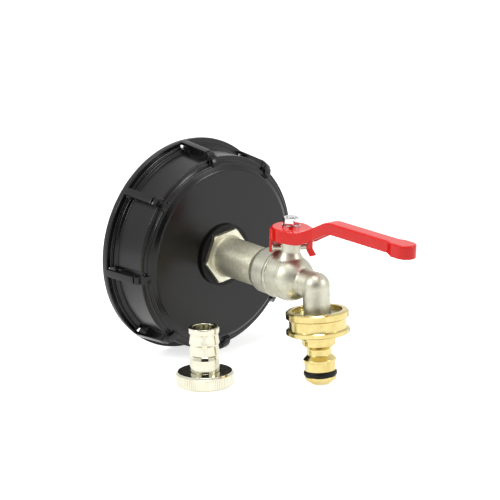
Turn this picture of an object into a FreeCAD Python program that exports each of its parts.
import FreeCAD, Part
import math
import os

# Screw cap with a garden tap for a bulk liquid container, and a loose hose tail with its union nut.
#
# Every piece of the valve is drawn in the tap's own frame: X runs along the tap, out of the tank, with x = 0
# at the cap's mouth, and Z points up the stem.  The finished valve is then tipped nose down about Y through
# the origin by the stance angle, so that it stands on the cap's flange and on the end of its hose plug.
# Profiles about the tap's axis are (x, r), those about the stem are (r, z), and those about the spout are
# (r, s), with s measured down the spout from the tap's axis.  Lengths are in millimetres.

V = FreeCAD.Vector
ORIGIN = V(0, 0, 0)
AXIS_X = V(1, 0, 0)
AXIS_Y = V(0, 1, 0)
AXIS_Z = V(0, 0, 1)

# --- clearances -------------------------------------------------------------------------------------------
RUNNING_GAP = 0.05        # radial, between a turning shaft and its bore
THREAD_GAP = 0.10         # radial, between a male thread and its nut
LOOSE_GAP = 0.30          # radial, between a ring and the bore it drops into
STOP_GAP = 0.6            # degrees, between the lever's finger and the lug it stops on
BALL_GAP = 0.4            # between the ball and the stem's flange above it

# --- screw cap --------------------------------------------------------------------------------------------
THREAD_CREST_R = 47.5     # coarse buttress thread for the tank's outlet
THREAD_LENGTH = 18.0
RELIEF_DEPTH = 0.7        # undercut between the thread and the seal's seat
WALL_T = 7.3              # at the flange
WALL_DRAFT = 0.8          # the wall is this much smaller at the shoulder
WALL_LENGTH = 27.2        # mouth to shoulder
FLANGE_REACH = 5.2        # past the wall
FLANGE_T = 4.2
LIP_SET_IN = 0.5          # the rim steps in at the mouth
LIP_LENGTH = 1.9
BEAD_HEIGHT = 1.4         # bead where the wall meets the flange
BEAD_LENGTH = 2.2
DECK_STEP = 2.5           # in from the wall, at the shoulder
DECK_RISE = 2.8
CROWN_WIDTH = 5.0         # sloping band from the deck to the face
CROWN_RISE = 1.2
FACE_RISE = 0.4
END_WALL = 4.4
HUB_HOLE_GAP = 0.25       # radial, round the threaded spigot

RIB_COUNT = 8
RIB_PHASE = 6.5           # degrees from +Y towards +Z
RIB_WIDTH = 4.2
RIB_SLOPE = 2.2           # the rib's outer edge falls this much from the flange to its nose
RIB_NOSE_ROUND = 8.0
RIB_OVERHANG = 0.9        # the nose hooks this far past the deck, and this far in over it
RIB_GROOVE = 0.9          # two grooves across the nose, as wide as this
RIB_GROOVE_DEPTH = 0.55
RIB_GROOVE_PITCH = 3.2
SLOT_WIDTH = 5.2
SLOT_RIM = 1.8            # rim left outside the slot
WINDOW_LENGTH = 6.8       # of the window below the rib's bar, from the flange

SEAL_WIDTH = 9.2
SEAL_T = 3.0

# --- hub hardware -----------------------------------------------------------------------------------------
SPIGOT_R = 10.48          # half-inch pipe thread
HUB_WASHER_WIDTH = 6.5
HUB_WASHER_T = 1.8
HEX_FLATS = 27.0
HEX_T = 2.3
HEX_TURN = 8.6            # degrees
INNER_SEAL_WIDTH = 5.3
INNER_SEAL_T = 2.0
LOCK_NUT_T = 6.0
SPIGOT_PROUD = 0.4        # of the lock nut
SPIGOT_EDGE = 0.8

# --- tap --------------------------------------------------------------------------------------------------
TAIL_BORE_R = 7.0
SLEEVE_R = 11.0
SLEEVE_DRAFT = 0.4
SLEEVE_LENGTH = 28.3
BALL_R = 8.6
BALL_BORE_R = 5.0
CHAMBER_WALL_GAP = 0.8    # between the ball and the chamber's wall
BODY_WALL = 3.0
MALE_STEP = 0.2           # the tail's thread is this much larger than the chamber
MOUTH_WALL = 1.3
FLARE_LENGTH = 3.5
MOUTH_TO_STEM = 20.5
RING_SET_BACK = 8.0       # from the stem's axis
BODY_RING_LENGTH = 1.3
BODY_RING_HEIGHT = 0.4
BODY_GROOVE = 0.35        # fine turned line beside the ring
DOME_SET_OFF = 1.5        # the dome's centre, past the stem's axis
GASKET_T = 1.0
GASKET_WIDTH = 0.65
SEAT_DEPTH = 3.5          # how far the ball sinks into each seat
SEAT_LENGTH = 2.7
SEAT_LIP = 1.3            # seat's bore is this much larger than the ball's bore
SPOUT_BORE_R = 5.6
PIPE_WALL = 1.6
ELBOW_SWELL = 0.2         # the elbow's corner is this much larger than the pipe
STEM_TO_ELBOW = 20.3
SPOUT_LEAN = 7.5          # degrees, the spout's foot leans away from the tank
COLLAR_R = 13.1           # three-quarter-inch pipe thread
SPOUT_LENGTH = 21.6       # tap's axis to the collar's end
COLLAR_LENGTH = 6.2
PIPE_BLEND = 1.6          # cast fillets
NECK_BLEND = 0.9
SPOUT_BLEND = 1.2

STEM_R = 3.0
STEM_FLANGE_WIDTH = 1.2
STEM_FLANGE_T = 1.2
THRUST_WASHER_T = 0.8
TANG_DEPTH = 2.0
TANG_T = 2.4
TANG_GAP = 0.1            # each side, between the tang and the ball's slot
RING_GROOVE_DEPTH = 0.8
RING_GROOVE_LENGTH = 1.7
RING_PLAY = 0.1           # each side of an O-ring in its groove
RING_PITCH = 3.4
RING_RISE = 2.6           # first groove, above the neck's inner step
STEM_TOP_R = 2.5          # M5
STEM_FLATS = 3.6
STEM_TIP_RISE = 0.6       # past the nut
NECK_WALL = 2.2
NECK_HEIGHT = 9.6         # above the barrel
NECK_FOOT_FLARE = 2.0
NECK_FOOT_RISE = 1.8      # top of the flared foot, above the barrel
LUG_R = 1.6
LUG_RISE = 4.0            # above the barrel
LUG_BITE = 0.7            # how far the lug reaches in under the finger

# --- lever ------------------------------------------------------------------------------------------------
LEVER_T = 1.5
HUB_R = 10.4
PLATE_GAP = 4.3           # from the neck's top to the underside of the hub plate
SKIRT_DROP = 7.2          # depth of the channel round the hub
TOP_EDGE_ROUND = 0.7
BAR_HALF_WIDTH = 4.2
BAR_START = 20.0          # lengths along the lever are from the stem's axis
GRIP_HALF_WIDTH = 5.6
GRIP_START = 77.5
GRIP_TAPER = 4.0
GRIP_LENGTH = 10.1
BAR_RISE = 9.5            # from the hub plate up to the bar
BAR_DEPTH = 6.2
GRIP_DEPTH = 7.1
RISE_START = 12.3
RISE_LENGTH = 17.5
UNDER_SET_BACK = 0.5      # the lower edge starts to rise this much sooner
UNDER_SET_OFF = 1.4       # and ends this much later
BEND_ROUND = 13.0
LEVER_OPEN_SWING = 90.0
FINGER_FROM = 162.0       # degrees round the stem from +X
FINGER_TO = 227.0
FINGER_SET_IN = 1.1       # inside of the finger, in from the hub's radius
FINGER_SET_OUT = 0.8
FINGER_CLEAR = 0.4        # above the ring on the body
HOOK_REACH = 13.7
HOOK_WIDTH = 3.8
HOOK_T = 1.5
HOOK_DROP = 9.6           # from the hub's top to the hook's bend
HOOK_TIP_LENGTH = 4.5
HOOK_TIP_DROP = 3.0
LEVER_WASHER_WIDTH = 2.3
LEVER_WASHER_T = 1.0
LEVER_NUT_FLATS = 8.0
LEVER_NUT_T = 4.0

# --- hose connector on the spout --------------------------------------------------------------------------
CONNECTOR_WASHER_T = 2.0
CONNECTOR_WASHER_WIDTH = 6.0
MOUTH_OVERLAP = 2.7       # the nut's mouth stands this far above the collar
UPPER_BAND_WALL = 3.1
UPPER_BAND_LENGTH = 4.3
BAND_GROOVE_DEPTH = 1.1
BAND_GROOVE_LENGTH = 5.4
LOWER_BAND_SWELL = 0.2    # the lower band is this much larger
LOWER_BAND_LENGTH = 2.9
NUT_EDGE = 0.5            # chamfer on the bands
PLUG_BORE_R = 4.6
PLUG_R = 8.2
STEP_1_SWELL = 1.6        # steps and flanges of the plug, against its radius
STEP_1_LENGTH = 2.7
STEP_2_SWELL = 0.7
STEP_2_LENGTH = 3.0
PLUG_NECK_DEPTH = 1.7
PLUG_NECK_ENTRY = 2.3
PLUG_NECK_LENGTH = 3.2
PLUG_LOCK_SWELL = 0.55
PLUG_LOCK_ENTRY = 2.3
PLUG_LOCK_LENGTH = 1.4
PLUG_LAND_LENGTH = 4.8
PLUG_RING_LENGTH = 3.0
PLUG_RING_SWELL = 0.6
PLUG_RING_DEPTH = 1.6
PLUG_TIP_SWELL = 0.1
PLUG_TIP_LENGTH = 1.5
PLUG_END_TAPER = 2.8
PLUG_END_LENGTH = 2.5

# --- loose hose tail --------------------------------------------------------------------------------------
TAIL_X = 65.0
TAIL_Y = -44.0
TAIL_WASHER_T = 1.6
TAIL_FLANGE_T = 2.0
TAIL_HOSE_BORE_R = 6.0
BARB_WALL = 2.1
BARB_DEPTH = 0.6
BARB_PITCH = 5.75
BARB_COUNT = 3
BARB_STEP = 1.2
BARB_FOOT = 8.5           # plain length between the nut and the lowest groove
BARB_TOP = 4.0            # plain length above the highest groove
UNION_NUT_WALL = 2.2
UNION_NUT_H = 7.6
UNION_NUT_WEB = 2.2
UNION_NUT_EDGE = 0.7

# --- worked out from the above ----------------------------------------------------------------------------
WALL_R = THREAD_CREST_R + WALL_T                # outside of the cap's wall, at the flange
CAP_R = WALL_R + FLANGE_REACH
DECK_R = WALL_R - WALL_DRAFT - DECK_STEP
DECK_X = WALL_LENGTH + DECK_RISE
CROWN_R = DECK_R - CROWN_WIDTH
CROWN_X = DECK_X + CROWN_RISE
FACE_X = CROWN_X + FACE_RISE
FLOOR_X = FACE_X - END_WALL                     # inside of the cap's end wall
WINDOW_END_X = FLANGE_T + WINDOW_LENGTH
SLOT_OUTER_R = CAP_R - SLOT_RIM
HUB_HOLE_R = SPIGOT_R + HUB_HOLE_GAP
HUB_WASHER_R = HUB_HOLE_R + HUB_WASHER_WIDTH
LOCK_NUT_X = FLOOR_X - INNER_SEAL_T - LOCK_NUT_T
SPIGOT_X = LOCK_NUT_X - SPIGOT_PROUD            # tank end of the tail
HEX_X = FACE_X + HUB_WASHER_T                   # tank side of the tail's hexagon
SLEEVE_X = HEX_X + HEX_T

JOINT_X = SLEEVE_X + SLEEVE_LENGTH              # the tail's shoulder meets the body here
STEM_X = JOINT_X + MOUTH_TO_STEM
CHAMBER_R = BALL_R + CHAMBER_WALL_GAP
BODY_R = CHAMBER_R + BODY_WALL
MALE_R = CHAMBER_R + MALE_STEP                  # tail's thread inside the body
SEAT_SET_OFF = BALL_R - SEAT_DEPTH              # seat's near face, from the ball's centre
INLET_SEAT_X = STEM_X - SEAT_SET_OFF - SEAT_LENGTH
OUTLET_SEAT_X = STEM_X + SEAT_SET_OFF
CHAMBER_END_X = OUTLET_SEAT_X + SEAT_LENGTH
DOME_X = STEM_X + DOME_SET_OFF
ELBOW_X = STEM_X + STEM_TO_ELBOW
PIPE_R = SPOUT_BORE_R + PIPE_WALL
ELBOW_R = PIPE_R + ELBOW_SWELL
COLLAR_TOP_S = SPOUT_LENGTH - COLLAR_LENGTH

STEM_FLANGE_R = STEM_R + STEM_FLANGE_WIDTH
STEM_FLANGE_Z = BALL_R + BALL_GAP
THRUST_WASHER_Z = STEM_FLANGE_Z + STEM_FLANGE_T
NECK_STEP_Z = THRUST_WASHER_Z + THRUST_WASHER_T
NECK_BORE_R = STEM_R + RUNNING_GAP
NECK_R = STEM_R + NECK_WALL
NECK_TOP_Z = BODY_R + NECK_HEIGHT
LUG_Z = BODY_R + LUG_RISE
PLATE_Z = NECK_TOP_Z + PLATE_GAP                # underside of the lever's hub plate
HUB_TOP_Z = PLATE_Z + LEVER_T
SKIRT_Z = HUB_TOP_Z - SKIRT_DROP
NUT_Z = HUB_TOP_Z + LEVER_WASHER_T
STEM_TIP_Z = NUT_Z + LEVER_NUT_T + STEM_TIP_RISE
BAR_TOP_Z = HUB_TOP_Z + BAR_RISE
BAR_LOW_Z = BAR_TOP_Z - BAR_DEPTH
GRIP_LOW_Z = BAR_TOP_Z - GRIP_DEPTH
RISE_END = RISE_START + RISE_LENGTH
GRIP_END = GRIP_START + GRIP_LENGTH
FINGER_INNER_R = HUB_R - FINGER_SET_IN
FINGER_OUTER_R = HUB_R + FINGER_SET_OUT
FINGER_Z = BODY_R + BODY_RING_HEIGHT + FINGER_CLEAR
LUG_REACH = FINGER_INNER_R + LUG_BITE           # from the stem's axis
LUG_HALF_ANGLE = math.degrees(math.asin(LUG_R / FINGER_INNER_R)) + STOP_GAP
OPEN_LUG_ANGLE = FINGER_TO + LUG_HALF_ANGLE
CLOSED_LUG_ANGLE = FINGER_FROM - LEVER_OPEN_SWING - LUG_HALF_ANGLE
HOOK_BEND_Z = HUB_TOP_Z - HOOK_DROP

CONNECTOR_BORE_R = COLLAR_R + THREAD_GAP
CONNECTOR_FLOOR_S = SPOUT_LENGTH + CONNECTOR_WASHER_T
CONNECTOR_WASHER_R = COLLAR_R - THREAD_GAP
CONNECTOR_MOUTH_S = COLLAR_TOP_S - MOUTH_OVERLAP
UPPER_BAND_R = CONNECTOR_BORE_R + UPPER_BAND_WALL
UPPER_BAND_END_S = CONNECTOR_MOUTH_S + UPPER_BAND_LENGTH
LOWER_BAND_S = UPPER_BAND_END_S + BAND_GROOVE_LENGTH
LOWER_BAND_R = UPPER_BAND_R + LOWER_BAND_SWELL
NUT_END_S = LOWER_BAND_S + LOWER_BAND_LENGTH
STEP_1_END_S = NUT_END_S + STEP_1_LENGTH
STEP_2_END_S = STEP_1_END_S + STEP_2_LENGTH
PLUG_NECK_S = STEP_2_END_S + PLUG_NECK_ENTRY
PLUG_NECK_END_S = PLUG_NECK_S + PLUG_NECK_LENGTH
PLUG_LOCK_S = PLUG_NECK_END_S + PLUG_LOCK_ENTRY
PLUG_LOCK_END_S = PLUG_LOCK_S + PLUG_LOCK_LENGTH
PLUG_RING_S = PLUG_LOCK_END_S + PLUG_LAND_LENGTH
PLUG_RING_END_S = PLUG_RING_S + PLUG_RING_LENGTH
PLUG_RING_FLOOR_R = PLUG_R - PLUG_RING_DEPTH
PLUG_TIP_R = PLUG_R + PLUG_TIP_SWELL
PLUG_TIP_END_S = PLUG_RING_END_S + PLUG_TIP_LENGTH
PLUG_END_S = PLUG_TIP_END_S + PLUG_END_LENGTH
PLUG_END_R = PLUG_TIP_R - PLUG_END_TAPER

BARB_R = TAIL_HOSE_BORE_R + BARB_WALL
BARB_GROOVE_R = BARB_R - BARB_DEPTH
BARB_GROOVE_Z = UNION_NUT_H + BARB_FOOT         # lowest groove
BARB_LAST_Z = BARB_GROOVE_Z + BARB_PITCH * (BARB_COUNT - 1)
TAIL_HEIGHT = BARB_LAST_Z + BARB_TOP
UNION_BORE_R = COLLAR_R + THREAD_GAP
UNION_NUT_R = UNION_BORE_R + UNION_NUT_WALL
TAIL_FLANGE_R = UNION_BORE_R - 2 * LOOSE_GAP
TAIL_NECK_R = BARB_R - BARB_DEPTH / 2

# The valve stands on its flange's front edge (heel) and on the near rim of the plug's end (toe).
LEAN = math.radians(SPOUT_LEAN)
TOE_X = ELBOW_X + PLUG_END_S * math.sin(LEAN) - PLUG_END_R * math.cos(LEAN)
TOE_Z = -PLUG_END_S * math.cos(LEAN) - PLUG_END_R * math.sin(LEAN)
STANCE = math.degrees(math.atan2(TOE_Z + CAP_R, TOE_X - FLANGE_T))
TABLE_Z = -CAP_R * math.cos(math.radians(STANCE)) - FLANGE_T * math.sin(math.radians(STANCE))


# --- shared shapes ----------------------------------------------------------------------------------------
def rounded_wire(corners):
    """Closed wire in the XZ plane through (a, b, radius) corners, each rounded by a tangent arc."""
    count = len(corners)
    trimmed = []
    for i in range(count):
        a, b, radius = corners[i]
        corner = V(a, 0, b)
        before = V(corners[i - 1][0], 0, corners[i - 1][1]) - corner
        after = V(corners[(i + 1) % count][0], 0, corners[(i + 1) % count][1]) - corner
        if radius == 0:
            trimmed.append((corner, None, corner))
            continue
        before.normalize()
        after.normalize()
        half = math.acos(max(-1.0, min(1.0, before.dot(after)))) / 2
        reach = radius / math.tan(half)
        middle = before + after
        middle.normalize()
        bulge = radius / math.sin(half) - radius
        trimmed.append((corner + before * reach, corner + middle * bulge, corner + after * reach))
    edges = []
    for i in range(count):
        start, mid, end = trimmed[i]
        if mid is not None:
            edges.append(Part.Arc(start, mid, end).toShape())
        following = trimmed[(i + 1) % count][0]
        if (following - end).Length > 1e-6:
            edges.append(Part.LineSegment(end, following).toShape())
    return Part.Wire(edges)


def sharp(points):
    """The same corners with no rounding."""
    return [(a, b, 0) for a, b in points]


def turned_x(corners):
    """Solid of revolution about the tap's axis from (x, r, radius) corners."""
    return Part.Face(rounded_wire(corners)).revolve(ORIGIN, AXIS_X, 360)


def turned_z(corners):
    """Solid of revolution about Z from (r, z, radius) corners."""
    return Part.Face(rounded_wire(corners)).revolve(ORIGIN, AXIS_Z, 360)


def ring_x(inner_r, outer_r, start_x, length):
    outer = Part.makeCylinder(outer_r, length, V(start_x, 0, 0), AXIS_X)
    return outer.cut(Part.makeCylinder(inner_r, length, V(start_x, 0, 0), AXIS_X))


def ring_z(inner_r, outer_r, start_z, length):
    outer = Part.makeCylinder(outer_r, length, V(0, 0, start_z))
    return outer.cut(Part.makeCylinder(inner_r, length, V(0, 0, start_z)))


def hexagon_z(flats, start_z, height):
    """Hexagonal prism along Z, one pair of flats facing +-Y."""
    corner_r = flats / math.sqrt(3)
    points = [V(corner_r * math.cos(math.radians(60 * i)), corner_r * math.sin(math.radians(60 * i)), start_z)
              for i in range(7)]
    return Part.Face(Part.makePolygon(points)).extrude(V(0, 0, height))


def hexagon_x(flats, start_x, length, turn=0.0):
    """Hexagonal prism along the tap's axis, turned about it."""
    prism = hexagon_z(flats, 0, length)
    prism.rotate(ORIGIN, AXIS_Y, 90)
    prism.rotate(ORIGIN, AXIS_X, turn)
    prism.translate(V(start_x, 0, 0))
    return prism


def at_stem(shape):
    """Moves a shape drawn about Z onto the stem's axis."""
    moved = shape.copy()
    moved.translate(V(STEM_X, 0, 0))
    return moved


def at_spout(shape):
    """Takes a shape drawn about Z with s = z onto the spout, s running down it."""
    moved = shape.copy()
    moved.rotate(ORIGIN, AXIS_Y, 180 - SPOUT_LEAN)
    moved.translate(V(ELBOW_X, 0, 0))
    return moved


def at_stance(shape):
    moved = shape.copy()
    moved.rotate(ORIGIN, AXIS_Y, STANCE)
    return moved


def at_tail(shape):
    """Stands a shape drawn about Z on the table, where the loose hose tail is."""
    moved = shape.copy()
    moved.translate(V(TAIL_X, TAIL_Y, TABLE_Z))
    return moved


# --- screw cap --------------------------------------------------------------------------------------------
def cap_shell():
    """The turned form of the cap: stepped cup, flange, bead and end wall with its hub hole."""
    bead_end = FLANGE_T + BEAD_LENGTH
    return turned_x([
        (0, THREAD_CREST_R, 0),
        (0, CAP_R - LIP_SET_IN, 0),
        (LIP_LENGTH, CAP_R - LIP_SET_IN, 0),
        (LIP_LENGTH, CAP_R, 0),
        (FLANGE_T, CAP_R, 0),
        (FLANGE_T, WALL_R + BEAD_HEIGHT, 0),
        (bead_end, WALL_R + BEAD_HEIGHT, 0),
        (bead_end + BEAD_HEIGHT / 2, WALL_R, 0),
        (WALL_LENGTH, WALL_R - WALL_DRAFT, 0),
        (WALL_LENGTH, DECK_R, 0),
        (DECK_X, DECK_R, 0),
        (CROWN_X, CROWN_R, 3.0),
        (FACE_X, HUB_WASHER_R, 0),
        (FACE_X, HUB_HOLE_R, 0),
        (FLOOR_X, HUB_HOLE_R, 0),
        (FLOOR_X, THREAD_CREST_R + RELIEF_DEPTH, 0),
        (THREAD_LENGTH, THREAD_CREST_R + RELIEF_DEPTH, 0),
        (THREAD_LENGTH, THREAD_CREST_R, 0),
    ])


def cap_rib():
    """One grip rib at the top of the cap: a bar bridging the flange's slot, a web and a hooked, grooved nose."""
    nose_x = DECK_X + RIB_OVERHANG
    corner_x = DECK_X - RIB_OVERHANG
    corner_r = CAP_R - RIB_SLOPE
    sunk_r = THREAD_CREST_R + WALL_T / 2
    face = Part.Face(rounded_wire([
        (FLANGE_T / 2, SLOT_OUTER_R, 0),
        (FLANGE_T / 2, CAP_R - LIP_SET_IN, 0),
        (FLANGE_T, CAP_R, 0),
        (corner_x, corner_r, RIB_NOSE_ROUND),
        (nose_x, DECK_R - RIB_OVERHANG, 0),
        (DECK_X - END_WALL / 2, DECK_R - 2 * RIB_OVERHANG, 0),
        (WALL_LENGTH - END_WALL, sunk_r, 0),
        (WINDOW_END_X, sunk_r, 0),
        (WINDOW_END_X, SLOT_OUTER_R, 0),
    ]))
    face.translate(V(0, -RIB_WIDTH / 2, 0))
    grooves = [rib_groove(corner_x - RIB_NOSE_ROUND + RIB_GROOVE_PITCH * i, corner_r) for i in (1, 2)]
    return face.extrude(V(0, RIB_WIDTH, 0)).cut(grooves)


def rib_groove(groove_x, corner_r):
    """A shallow collar round the rib's outer and side faces, square to its outer edge."""
    reach = CAP_R - WALL_R
    depth = RIB_GROOVE_DEPTH
    outline = Part.makeBox(RIB_GROOVE, RIB_WIDTH + 2, 2 * reach, V(groove_x, -RIB_WIDTH / 2 - 1, corner_r - reach))
    core = Part.makeBox(RIB_GROOVE, RIB_WIDTH - depth, 2 * reach,
                        V(groove_x, -(RIB_WIDTH - depth) / 2, corner_r - reach - depth - RIB_SLOPE / 2))
    collar = outline.cut(core)
    return collar.cut(core)


def cap_slot():
    """The opening right through the flange under one rib, running on as the window below its bar."""
    floor_r = WALL_R + 0.1
    return Part.makeBox(WINDOW_END_X + 1, SLOT_WIDTH, SLOT_OUTER_R - floor_r,
                        V(-1, -SLOT_WIDTH / 2, floor_r))


def cap():
    ribs = []
    slots = []
    for i in range(RIB_COUNT):
        turn = RIB_PHASE - 90 + 360.0 / RIB_COUNT * i
        rib = cap_rib()
        slot = cap_slot()
        rib.rotate(ORIGIN, AXIS_X, turn)
        slot.rotate(ORIGIN, AXIS_X, turn)
        ribs.append(rib)
        slots.append(slot)
    return cap_shell().cut(slots).fuse(ribs).removeSplitter()


def cap_seal():
    outer_r = THREAD_CREST_R - LOOSE_GAP
    return ring_x(outer_r - SEAL_WIDTH, outer_r, FLOOR_X - SEAL_T, SEAL_T)


# --- hub hardware and tail --------------------------------------------------------------------------------
def hub_washer():
    return ring_x(HUB_HOLE_R, HUB_WASHER_R, FACE_X, HUB_WASHER_T)


def inner_seal():
    return ring_x(HUB_HOLE_R, HUB_HOLE_R + INNER_SEAL_WIDTH, FLOOR_X - INNER_SEAL_T, INNER_SEAL_T)


def lock_nut():
    bore = Part.makeCylinder(SPIGOT_R + RUNNING_GAP, LOCK_NUT_T, V(LOCK_NUT_X, 0, 0), AXIS_X)
    return hexagon_x(HEX_FLATS, LOCK_NUT_X, LOCK_NUT_T).cut(bore)


def tap_tail():
    """The tap's threaded tail: spigot through the cap, hexagon, cast sleeve, and a male end in the body."""
    outside = turned_x([
        (SPIGOT_X, 0, 0),
        (SPIGOT_X, SPIGOT_R - SPIGOT_EDGE, 0),
        (SPIGOT_X + SPIGOT_EDGE, SPIGOT_R, 0),
        (HEX_X, SPIGOT_R, 0),
        (HEX_X, SLEEVE_R, 0),
        (SLEEVE_X, SLEEVE_R, 0),
        (JOINT_X, SLEEVE_R - SLEEVE_DRAFT, 0),
        (JOINT_X, MALE_R, 0),
        (INLET_SEAT_X, MALE_R, 0),
        (INLET_SEAT_X, 0, 0),
    ])
    bore = Part.makeCylinder(TAIL_BORE_R, INLET_SEAT_X - SPIGOT_X, V(SPIGOT_X, 0, 0), AXIS_X)
    return outside.fuse(hexagon_x(HEX_FLATS, HEX_X, HEX_T, HEX_TURN)).cut(bore)


def tail_gasket():
    return ring_x(MALE_R + RUNNING_GAP, MALE_R + GASKET_WIDTH, JOINT_X, GASKET_T)


# --- tap body ---------------------------------------------------------------------------------------------
def body_barrel():
    """Flared mouth, barrel with a turned ring and line, and the domed end round the ball."""
    ring_x_start = STEM_X - RING_SET_BACK
    ring_end = ring_x_start + BODY_RING_LENGTH
    groove_end = ring_end + BODY_GROOVE * 2
    barrel = turned_x([
        (JOINT_X, 0, 0),
        (JOINT_X, MALE_R + MOUTH_WALL, 0),
        (JOINT_X + FLARE_LENGTH, BODY_R, 2.0),
        (ring_x_start, BODY_R, 0),
        (ring_x_start, BODY_R + BODY_RING_HEIGHT, 0),
        (ring_end, BODY_R + BODY_RING_HEIGHT, 0),
        (ring_end, BODY_R - BODY_GROOVE, 0),
        (groove_end, BODY_R - BODY_GROOVE, 0),
        (groove_end, BODY_R, 0),
        (DOME_X, BODY_R, 0),
        (DOME_X, 0, 0),
    ])
    dome = Part.makeSphere(BODY_R, V(DOME_X, 0, 0), AXIS_X, 0, 90, 360)
    return barrel.fuse(dome)


def body_neck():
    """Stem neck with its flared foot, and the two stop lugs cast on it."""
    foot_top = BODY_R + NECK_FOOT_RISE
    foot_low = BODY_R - NECK_FOOT_FLARE
    neck = Part.makeCylinder(NECK_R, NECK_TOP_Z)
    foot = Part.makeCone(NECK_R + NECK_FOOT_FLARE, NECK_R, foot_top - foot_low, V(0, 0, foot_low))
    root = Part.makeCylinder(NECK_R + NECK_FOOT_FLARE, foot_low)
    lugs = []
    for angle in (OPEN_LUG_ANGLE, CLOSED_LUG_ANGLE):
        way = V(math.cos(math.radians(angle)), math.sin(math.radians(angle)), 0)
        lugs.append(Part.makeCylinder(LUG_R, LUG_REACH, V(0, 0, LUG_Z), way))
    return at_stem(neck.fuse([foot, root] + lugs))


def body_elbow():
    """Outlet pipe turning down into the leaning spout, with the threaded collar at its foot."""
    pipe = Part.makeCylinder(PIPE_R, ELBOW_X - DOME_X, V(DOME_X, 0, 0), AXIS_X)
    corner = Part.makeSphere(ELBOW_R, V(ELBOW_X, 0, 0))
    spout = at_spout(Part.makeCylinder(PIPE_R, SPOUT_LENGTH))
    collar = at_spout(Part.makeCylinder(COLLAR_R, COLLAR_LENGTH, V(0, 0, COLLAR_TOP_S)))
    return pipe.fuse([corner, spout, collar])


def body_hollows():
    """Threaded mouth, ball chamber, outlet way and stem bore."""
    mouth = Part.makeCylinder(MALE_R + RUNNING_GAP, INLET_SEAT_X - JOINT_X, V(JOINT_X, 0, 0), AXIS_X)
    gasket_seat = Part.makeCylinder(MALE_R + GASKET_WIDTH, GASKET_T, V(JOINT_X, 0, 0), AXIS_X)
    chamber = Part.makeCylinder(CHAMBER_R, CHAMBER_END_X - INLET_SEAT_X, V(INLET_SEAT_X, 0, 0), AXIS_X)
    outlet = Part.makeCylinder(SPOUT_BORE_R, ELBOW_X - CHAMBER_END_X, V(CHAMBER_END_X, 0, 0), AXIS_X)
    corner = Part.makeSphere(SPOUT_BORE_R, V(ELBOW_X, 0, 0))
    spout = at_spout(Part.makeCylinder(SPOUT_BORE_R, SPOUT_LENGTH))
    stem_bore = at_stem(Part.makeCylinder(NECK_BORE_R, NECK_TOP_Z))
    stem_seat = at_stem(Part.makeCylinder(STEM_FLANGE_R + RUNNING_GAP, NECK_STEP_Z))
    return [mouth, gasket_seat, chamber, outlet, corner, spout, stem_bore, stem_seat]


def tap_body():
    return body_barrel().fuse([body_neck(), body_elbow()]).removeSplitter().cut(body_hollows())


# --- ball, seats and stem ---------------------------------------------------------------------------------
def seat(start_x):
    hollow = Part.makeSphere(BALL_R + RUNNING_GAP, V(STEM_X, 0, 0))
    return ring_x(BALL_BORE_R + SEAT_LIP, CHAMBER_R - RUNNING_GAP, start_x, SEAT_LENGTH).cut(hollow)


def ball():
    """Full-bore ball, lever open, with the slot that the stem's tang turns."""
    tang_z = BALL_R - TANG_DEPTH
    bore = Part.makeCylinder(BALL_BORE_R, 2 * BALL_R, V(STEM_X - BALL_R, 0, 0), AXIS_X)
    slot = Part.makeBox(TANG_T + 2 * TANG_GAP, 2 * BALL_R, BALL_R,
                        V(STEM_X - TANG_T / 2 - TANG_GAP, -BALL_R, tang_z - TANG_GAP))
    return Part.makeSphere(BALL_R, V(STEM_X, 0, 0)).cut([bore, slot])


def stem_ring_places():
    """Heights of the stem's ring grooves."""
    return [NECK_STEP_Z + RING_RISE + RING_PITCH * i for i in range(2)]


def stem():
    """Blow-out proof stem: tang, flange, grooved shaft, flats for the lever and a threaded top."""
    flange = Part.makeCylinder(STEM_FLANGE_R, STEM_FLANGE_T, V(0, 0, STEM_FLANGE_Z))
    shaft = Part.makeCylinder(STEM_R, PLATE_Z - STEM_FLANGE_Z, V(0, 0, STEM_FLANGE_Z))
    top = Part.makeCylinder(STEM_TOP_R, STEM_TIP_Z - PLATE_Z, V(0, 0, PLATE_Z))
    tang = Part.makeBox(TANG_T, 2 * STEM_R, STEM_FLANGE_Z - BALL_R + TANG_DEPTH,
                        V(-TANG_T / 2, -STEM_R, BALL_R - TANG_DEPTH))
    grooves = [ring_z(STEM_R - RING_GROOVE_DEPTH, STEM_R + 1, z, RING_GROOVE_LENGTH) for z in stem_ring_places()]
    flats = [Part.makeBox(2 * STEM_TOP_R, STEM_TOP_R, LEVER_T, V(-STEM_TOP_R, y, PLATE_Z))
             for y in (STEM_FLATS / 2, -STEM_FLATS / 2 - STEM_TOP_R)]
    return at_stem(flange.fuse([shaft, top, tang]).cut(grooves + flats))


def stem_thrust_washer():
    return at_stem(ring_z(NECK_BORE_R, STEM_FLANGE_R, THRUST_WASHER_Z, THRUST_WASHER_T))


def stem_o_rings():
    inner_r = STEM_R - RING_GROOVE_DEPTH + RUNNING_GAP
    outer_r = NECK_BORE_R - RUNNING_GAP / 2
    rings = [ring_z(inner_r, outer_r, z + RING_PLAY, RING_GROOVE_LENGTH - 2 * RING_PLAY)
             for z in stem_ring_places()]
    return at_stem(Part.makeCompound(rings))


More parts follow.
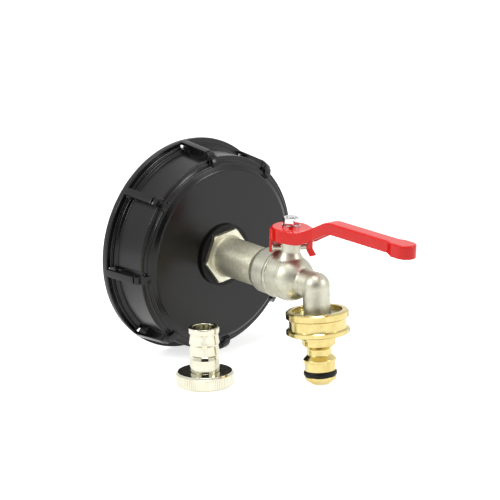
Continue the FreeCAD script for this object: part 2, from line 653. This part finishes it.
# --- lever ------------------------------------------------------------------------------------------------
def lever_plan(inset):
    """Plan of the stamping, drawn in by the inset: hub, narrowing arms, bar and round-ended grip."""
    bar = BAR_HALF_WIDTH - inset
    grip = GRIP_HALF_WIDTH - inset
    hub = HUB_R - inset
    height = 2 * BAR_TOP_Z
    end_x = GRIP_END - GRIP_HALF_WIDTH
    shoulder_x = hub * 0.45
    shoulder_y = hub * math.sqrt(1 - 0.45 ** 2)
    half = [
        (shoulder_x, shoulder_y),
        (BAR_START, bar),
        (GRIP_START - GRIP_TAPER, bar),
        (GRIP_START, grip),
        (end_x, grip),
    ]
    outline = [V(x, y, 0) for x, y in half] + [V(x, -y, 0) for x, y in reversed(half)]
    arm = Part.Face(Part.makePolygon(outline + outline[:1])).extrude(V(0, 0, height))
    round_hub = Part.makeCylinder(hub, height)
    round_end = Part.makeCylinder(grip, height, V(end_x, 0, 0))
    return arm.fuse([round_hub, round_end]).removeSplitter()


def lever_side(drop, low_extra):
    """Side view of the stamping: top edge lowered by the drop, lower edge lowered by low_extra."""
    back = -HUB_R - 1
    front = GRIP_END + 1
    top = HUB_TOP_Z - drop
    bar_top = BAR_TOP_Z - drop
    face = Part.Face(rounded_wire([
        (back, SKIRT_Z - low_extra, 0),
        (back, top, 0),
        (RISE_START, top, BEND_ROUND),
        (RISE_END, bar_top, BEND_ROUND),
        (front, bar_top, 0),
        (front, GRIP_LOW_Z - low_extra, 0),
        (GRIP_START, GRIP_LOW_Z - low_extra, 0),
        (GRIP_START - GRIP_TAPER, BAR_LOW_Z - low_extra, 0),
        (RISE_END + UNDER_SET_OFF, BAR_LOW_Z - low_extra, BEND_ROUND),
        (RISE_START - UNDER_SET_BACK, SKIRT_Z - low_extra, BEND_ROUND),
    ]))
    face.translate(V(0, -HUB_R - 1, 0))
    return face.extrude(V(0, 2 * HUB_R + 2, 0))


def lever_shell():
    """The stamped channel: rounded along its top edges and open below."""
    outside = lever_side(0, 0).common(lever_plan(0))
    outside = outside.makeFillet(TOP_EDGE_ROUND, outline_of_top(outside))
    inside = lever_side(LEVER_T, BAR_TOP_Z).common(lever_plan(LEVER_T))
    return outside.cut(inside)


def outline_of_top(solid):
    """Edges round the upward faces, leaving out those shared by two of them."""
    edges = []
    for face in solid.Faces:
        u_min, u_max, v_min, v_max = face.ParameterRange
        if face.normalAt((u_min + u_max) / 2, (v_min + v_max) / 2).z > 0.5:
            edges.extend(face.Edges)
    return [edge for edge in edges if sum(1 for other in edges if other.isSame(edge)) == 1]


def plate_middle_z(reach):
    """Height of the middle of the plate's thickness on its rising run."""
    return HUB_TOP_Z + BAR_RISE / RISE_LENGTH * (reach - RISE_START) - LEVER_T / 2


def lever_finger():
    """The stop finger: a curved tab of the skirt, hanging low enough to meet the neck's lugs."""
    height = HUB_TOP_Z - LEVER_T - FINGER_Z
    sweep = FINGER_TO - FINGER_FROM
    outer = Part.makeCylinder(FINGER_OUTER_R, height, V(0, 0, FINGER_Z), AXIS_Z, sweep)
    inner = Part.makeCylinder(FINGER_INNER_R, height, V(0, 0, FINGER_Z))
    tab = outer.cut(inner)
    tab.rotate(ORIGIN, AXIS_Z, FINGER_FROM)
    return tab


def lever_hook():
    """The tongue pressed down from the plate and curled forwards."""
    tip_x = HOOK_REACH + HOOK_TIP_LENGTH
    tip_z = HOOK_BEND_Z - HOOK_TIP_DROP
    face = Part.Face(rounded_wire([
        (HOOK_REACH, plate_middle_z(HOOK_REACH), 0),
        (HOOK_REACH, HOOK_BEND_Z, 2 * HOOK_T),
        (tip_x - HOOK_T, tip_z, 0),
        (tip_x, tip_z + HOOK_T / 2, 0),
        (HOOK_REACH + HOOK_T, HOOK_BEND_Z + HOOK_T / 2, HOOK_T),
        (HOOK_REACH + HOOK_T, plate_middle_z(HOOK_REACH + HOOK_T), 0),
    ]))
    face.translate(V(0, -HOOK_WIDTH / 2, 0))
    return face.extrude(V(0, HOOK_WIDTH, 0))


def lever():
    across = STEM_FLATS + 2 * TANG_GAP
    hole = Part.makeCylinder(STEM_TOP_R + RUNNING_GAP, LEVER_T + 1, V(0, 0, PLATE_Z - 0.5))
    hole = hole.common(Part.makeBox(4 * STEM_TOP_R, across, LEVER_T + 1,
                                    V(-2 * STEM_TOP_R, -across / 2, PLATE_Z - 0.5)))
    return at_stem(lever_shell().fuse([lever_finger(), lever_hook()]).cut(hole))


def lever_washer():
    return at_stem(ring_z(STEM_TOP_R + RUNNING_GAP, STEM_TOP_R + LEVER_WASHER_WIDTH, HUB_TOP_Z, LEVER_WASHER_T))


def lever_nut():
    """Hexagon nut with its top corners turned off."""
    blank = hexagon_z(LEVER_NUT_FLATS, NUT_Z, LEVER_NUT_T)
    corner_r = LEVER_NUT_FLATS / math.sqrt(3)
    turned = Part.makeCone(corner_r + LEVER_NUT_T, LEVER_NUT_FLATS / 2 - 0.1, LEVER_NUT_T + corner_r / 2,
                           V(0, 0, NUT_Z - corner_r / 2))
    bore = Part.makeCylinder(STEM_TOP_R + RUNNING_GAP, LEVER_NUT_T, V(0, 0, NUT_Z))
    return at_stem(blank.common(turned).cut(bore))


# --- hose connector ---------------------------------------------------------------------------------------
def connector():
    """Brass click plug: banded nut above, stepped neck, locking flange and grooved nose below."""
    return at_spout(turned_z([
        (CONNECTOR_BORE_R, CONNECTOR_MOUTH_S, 0),
        (UPPER_BAND_R - NUT_EDGE, CONNECTOR_MOUTH_S, 0),
        (UPPER_BAND_R, CONNECTOR_MOUTH_S + NUT_EDGE, 0),
        (UPPER_BAND_R, UPPER_BAND_END_S - NUT_EDGE, 0),
        (UPPER_BAND_R - NUT_EDGE, UPPER_BAND_END_S, 0),
        (UPPER_BAND_R - BAND_GROOVE_DEPTH, UPPER_BAND_END_S, 0),
        (UPPER_BAND_R - BAND_GROOVE_DEPTH, LOWER_BAND_S, 0),
        (LOWER_BAND_R - NUT_EDGE, LOWER_BAND_S, 0),
        (LOWER_BAND_R, LOWER_BAND_S + NUT_EDGE, 0),
        (LOWER_BAND_R, NUT_END_S - NUT_EDGE, 0),
        (LOWER_BAND_R - NUT_EDGE, NUT_END_S, 0),
        (PLUG_R + STEP_1_SWELL, NUT_END_S, 0),
        (PLUG_R + STEP_1_SWELL, STEP_1_END_S, 0),
        (PLUG_R + STEP_2_SWELL, STEP_1_END_S, 0),
        (PLUG_R + STEP_2_SWELL, STEP_2_END_S, 1.0),
        (PLUG_R - PLUG_NECK_DEPTH, PLUG_NECK_S, 0),
        (PLUG_R - PLUG_NECK_DEPTH, PLUG_NECK_END_S, 0),
        (PLUG_R + PLUG_LOCK_SWELL, PLUG_LOCK_S, 0),
        (PLUG_R + PLUG_LOCK_SWELL, PLUG_LOCK_END_S, 0),
        (PLUG_R, PLUG_LOCK_END_S, 0),
        (PLUG_R, PLUG_RING_S, 0),
        (PLUG_RING_FLOOR_R, PLUG_RING_S, 0),
        (PLUG_RING_FLOOR_R, PLUG_RING_END_S, 0),
        (PLUG_TIP_R, PLUG_RING_END_S, 0),
        (PLUG_TIP_R, PLUG_TIP_END_S, 0),
        (PLUG_END_R, PLUG_END_S, 0),
        (PLUG_BORE_R, PLUG_END_S, 0),
        (PLUG_BORE_R, CONNECTOR_FLOOR_S, 0),
        (CONNECTOR_BORE_R, CONNECTOR_FLOOR_S, 0),
    ]))


def connector_washer():
    return at_spout(ring_z(CONNECTOR_WASHER_R - CONNECTOR_WASHER_WIDTH, CONNECTOR_WASHER_R,
                           SPOUT_LENGTH, CONNECTOR_WASHER_T))


def plug_o_ring():
    """O-ring in the plug's groove, crowned outside and pressed to the groove's floor."""
    low = PLUG_RING_S + RUNNING_GAP
    high = PLUG_RING_END_S - RUNNING_GAP
    inner_r = PLUG_RING_FLOOR_R + RUNNING_GAP
    outer_r = PLUG_R + PLUG_RING_SWELL
    shoulder = (high - low) / 3
    return at_spout(turned_z(sharp([
        (inner_r, low),
        (outer_r - shoulder, low),
        (outer_r, low + shoulder),
        (outer_r, high - shoulder),
        (outer_r - shoulder, high),
        (inner_r, high),
    ])))


# --- loose hose tail --------------------------------------------------------------------------------------
def hose_tail():
    """Hose tail standing on its washer: flange, plain neck, and barbs with a step under each."""
    flange_top = TAIL_WASHER_T + TAIL_FLANGE_T
    corners = [
        (TAIL_HOSE_BORE_R, TAIL_WASHER_T),
        (TAIL_FLANGE_R, TAIL_WASHER_T),
        (TAIL_FLANGE_R, flange_top),
        (TAIL_NECK_R, flange_top),
    ]
    corners.append((TAIL_NECK_R, BARB_GROOVE_Z - BARB_STEP))
    for i in range(BARB_COUNT):
        groove = BARB_GROOVE_Z + BARB_PITCH * i
        corners.append((BARB_GROOVE_R, groove))
        corners.append((BARB_R, groove + BARB_STEP))
    corners.append((BARB_R, TAIL_HEIGHT - BARB_DEPTH))
    corners.append((BARB_R - BARB_DEPTH, TAIL_HEIGHT))
    corners.append((TAIL_HOSE_BORE_R, TAIL_HEIGHT))
    return at_tail(turned_z(sharp(corners)))


def union_nut():
    """Union nut hanging loose on the tail, its web above the tail's flange."""
    web_r = TAIL_NECK_R + LOOSE_GAP
    web_z = UNION_NUT_H - UNION_NUT_WEB
    return at_tail(turned_z(sharp([
        (UNION_BORE_R, 0),
        (UNION_NUT_R - UNION_NUT_EDGE, 0),
        (UNION_NUT_R, UNION_NUT_EDGE),
        (UNION_NUT_R, UNION_NUT_H - UNION_NUT_EDGE),
        (UNION_NUT_R - UNION_NUT_EDGE, UNION_NUT_H),
        (web_r, UNION_NUT_H),
        (web_r, web_z),
        (UNION_BORE_R, web_z),
    ])))


def tail_washer():
    return at_tail(ring_z(TAIL_HOSE_BORE_R, TAIL_FLANGE_R, 0, TAIL_WASHER_T))


# --- build ------------------------------------------------------------------------------------------------
VALVE = {
    "cap": cap,
    "cap_seal": cap_seal,
    "hub_washer": hub_washer,
    "inner_seal": inner_seal,
    "lock_nut": lock_nut,
    "tap_tail": tap_tail,
    "tail_gasket": tail_gasket,
    "tap_body": tap_body,
    "seat_inlet": lambda: seat(INLET_SEAT_X),
    "seat_outlet": lambda: seat(OUTLET_SEAT_X),
    "ball": ball,
    "stem": stem,
    "stem_thrust_washer": stem_thrust_washer,
    "stem_o_rings": stem_o_rings,
    "lever": lever,
    "lever_washer": lever_washer,
    "lever_nut": lever_nut,
    "connector": connector,
    "connector_washer": connector_washer,
    "plug_o_ring": plug_o_ring,
}
LOOSE_TAIL = {
    "hose_tail": hose_tail,
    "union_nut": union_nut,
    "tail_washer": tail_washer,
}


def main():
    os.makedirs("parts", exist_ok=True)
    shapes = {name: at_stance(make()) for name, make in VALVE.items()}
    shapes.update({name: make() for name, make in LOOSE_TAIL.items()})
    for name, shape in shapes.items():
        shape.exportStep(os.path.join("parts", name + ".step"))
        print(name, "valid", shape.isValid(), "solids", len(shape.Solids), "mm3", round(shape.Volume, 1))
    print("stance", round(STANCE, 3), "table z", round(TABLE_Z, 3))


main()
